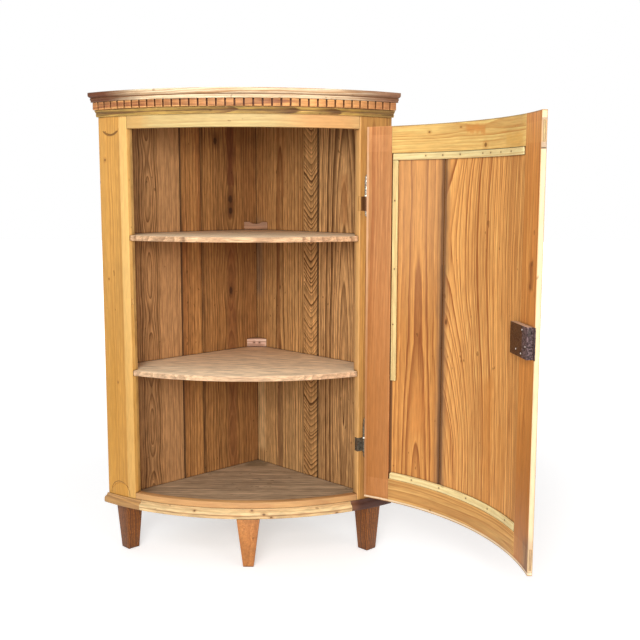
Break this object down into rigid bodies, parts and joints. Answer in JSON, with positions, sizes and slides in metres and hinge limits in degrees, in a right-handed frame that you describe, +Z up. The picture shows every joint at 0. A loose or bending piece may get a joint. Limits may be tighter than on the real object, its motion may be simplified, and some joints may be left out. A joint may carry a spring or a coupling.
{
  "type": "corner cupboard",
  "caption": "Bow-fronted corner cupboard with a dentil cornice, shelves, one panelled door on pin hinges and tapered feet.",
  "frame": {"origin": "centre of the rear foot's sole, on the floor under the back corner", "axes": "+Z up, -Y out of the bowed front, +X to the hinge side"},
  "size_m": [0.992, 0.912, 1.15],
  "materials": {
    "interior_wood": "worn satin",
    "floor_wood": "worn matt",
    "shelf_wood": "worn matt",
    "block_wood": "bare",
    "brass": "worn",
    "iron": "worn",
    "bolt_steel": "worn",
    "lock_iron": "rusted",
    "bed_wood": "old wax",
    "dentil_wood": "old wax",
    "cornice_wood": "old wax",
    "frieze_wood": "old wax",
    "rail_wood": "old wax",
    "stile_wood": "old wax",
    "dark_wood": "old wax",
    "moulding_wood": "worn matt",
    "foot_wood": "old wax",
    "panel_wood": "old wax",
    "bead_wood": "old wax",
    "door_rail_wood": "old wax",
    "door_stile_wood": "old wax",
    "top_wood": "bare"
  },
  "bodies": {
    "case": {"wall_left_1": "interior_wood", "wall_left_2": "interior_wood", "wall_left_3": "interior_wood", "wall_right_1": "interior_wood", "wall_right_2": "interior_wood", "wall_right_3": "interior_wood", "floor_board": "floor_wood", "shelf_lower": "shelf_wood", "shelf_upper": "shelf_wood", "top_board": "top_wood", "corner_block_upper": "block_wood", "corner_block_lower": "block_wood", "frieze_rail": "frieze_wood", "bottom_rail": "rail_wood", "stile_left": "stile_wood", "stile_right": "stile_wood", "hinge_lower_frame_leaf": "iron", "hinge_lower_pin": "iron", "hinge_lower_washer": "brass", "hinge_upper_frame_leaf": "iron", "hinge_upper_pin": "iron", "hinge_upper_washer": "brass", "cornice_bed": "bed_wood", "cornice_dentils": "dentil_wood", "cornice_crown": "cornice_wood", "base_moulding_left": "moulding_wood", "base_moulding_centre": "moulding_wood", "base_moulding_right": "dark_wood", "foot_left": "foot_wood", "foot_right": "foot_wood", "foot_rear": "foot_wood", "foot_front": "foot_wood"},
    "door": {"door_stile_hinge": "door_stile_wood", "door_stile_lock": "door_stile_wood", "door_rail_top": "door_rail_wood", "door_rail_bottom": "door_rail_wood", "door_panel_lock": "panel_wood", "door_panel_hinge": "panel_wood", "door_bead_top": "bead_wood", "door_bead_bottom": "bead_wood", "door_bead_hinge": "bead_wood", "hinge_lower_door_leaf": "iron", "hinge_upper_door_leaf": "iron", "lock_case": "lock_iron", "lock_forend": "lock_iron", "lock_selvedge": "lock_iron"},
    "lock_bolt_body": {"lock_bolt": "bolt_steel"}
  },
  "joints": [
    {"name": "door_swing", "type": "hinge", "parent": "case", "child": "door", "pos_m": [0.29611, -0.36376, 0.6], "axis": [0, 0, 1], "range_deg": [-122.2, 7.8]},
    {"name": "lock_bolt_slide", "type": "slide", "parent": "door", "child": "lock_bolt_body", "axis": [0.1496, -0.9887, 0], "range_m": [0, 0.012]}
  ]
}
